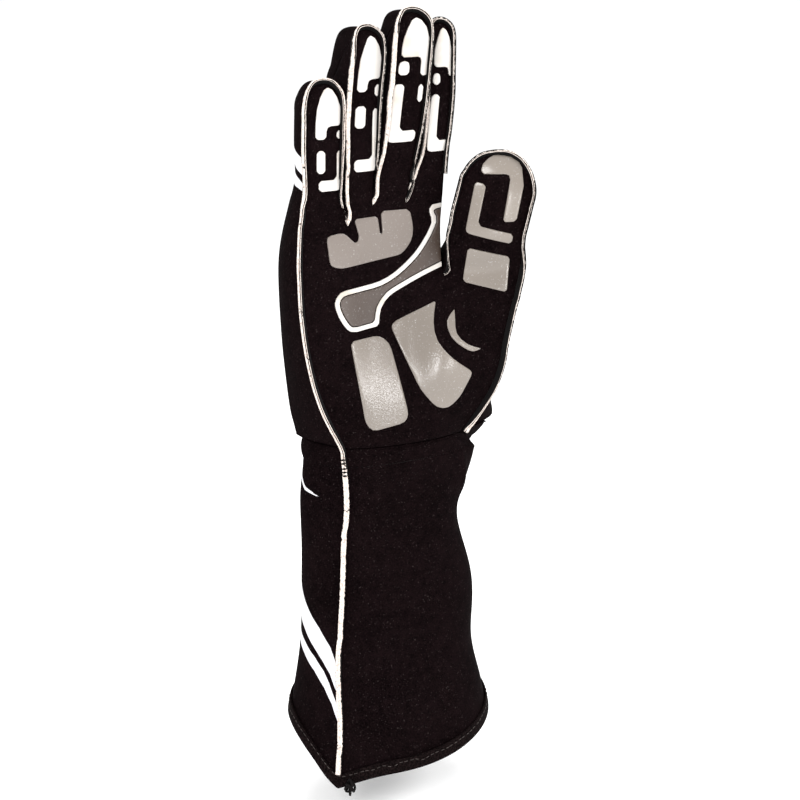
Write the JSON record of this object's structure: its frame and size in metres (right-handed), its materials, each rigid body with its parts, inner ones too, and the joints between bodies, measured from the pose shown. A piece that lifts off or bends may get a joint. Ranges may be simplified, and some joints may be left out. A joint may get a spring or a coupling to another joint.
{
  "type": "karting glove",
  "caption": "Long-cuffed right-hand karting glove in black stretch cloth, with raised outside seams, a bound hem and printed grip pads on the palm and fingers.",
  "frame": {"origin": "middle of the wrist hollow, where the wearer's wrist sits", "axes": "+Z towards the fingertips, -Y out of the palm, +X towards the thumb"},
  "size_m": [0.1077, 0.0692, 0.3355],
  "materials": {
    "stretch_cloth": "matte suede-like stretch cloth",
    "seam_edge": "two raw cloth edges, cream where cut",
    "binding_tape": "ribbed tape with stitches",
    "sewing_thread": "matte thread",
    "finger_print": "matte silicone print",
    "palm_print": "glossy silicone print with fine sparkle",
    "panel_print": "satin silicone print"
  },
  "bodies": {
    "root": {"palm_panel": "stretch_cloth", "back_panel": "stretch_cloth", "little_ring_strip": "stretch_cloth", "ring_middle_strip": "stretch_cloth", "middle_index_strip": "stretch_cloth", "thumb_web_strip": "stretch_cloth", "cuff_palm_panel": "stretch_cloth", "cuff_back_panel": "stretch_cloth", "ulnar_seam": "seam_edge", "ring_seam": "seam_edge", "middle_seam": "seam_edge", "index_seam": "seam_edge", "thumb_seam": "seam_edge", "cuff_radial_seam": "seam_edge", "hem_binding": "binding_tape", "seam_end_knot": "sewing_thread", "little_arch_grip": "finger_print", "little_dot_grip": "finger_print", "little_bar_grip": "finger_print", "little_corner_grip": "finger_print", "ring_arch_grip": "finger_print", "ring_dot_grip": "finger_print", "ring_bar_grip": "finger_print", "ring_corner_grip": "finger_print", "middle_arch_grip": "finger_print", "middle_block_grip": "finger_print", "middle_bar_grip": "finger_print", "middle_corner_grip": "finger_print", "index_arch_grip": "finger_print", "index_block_grip": "finger_print", "index_corner_grip": "finger_print", "thumb_arch_grip": "palm_print", "thumb_corner_grip": "palm_print", "thumb_block_grip": "palm_print", "palm_upper_grip": "palm_print", "palm_ulnar_grip": "palm_print", "palm_thumb_grip": "palm_print", "palm_crescent_grip": "palm_print", "palm_panel_border": "finger_print", "palm_panel_filling": "panel_print"}
  },
  "joints": []
}
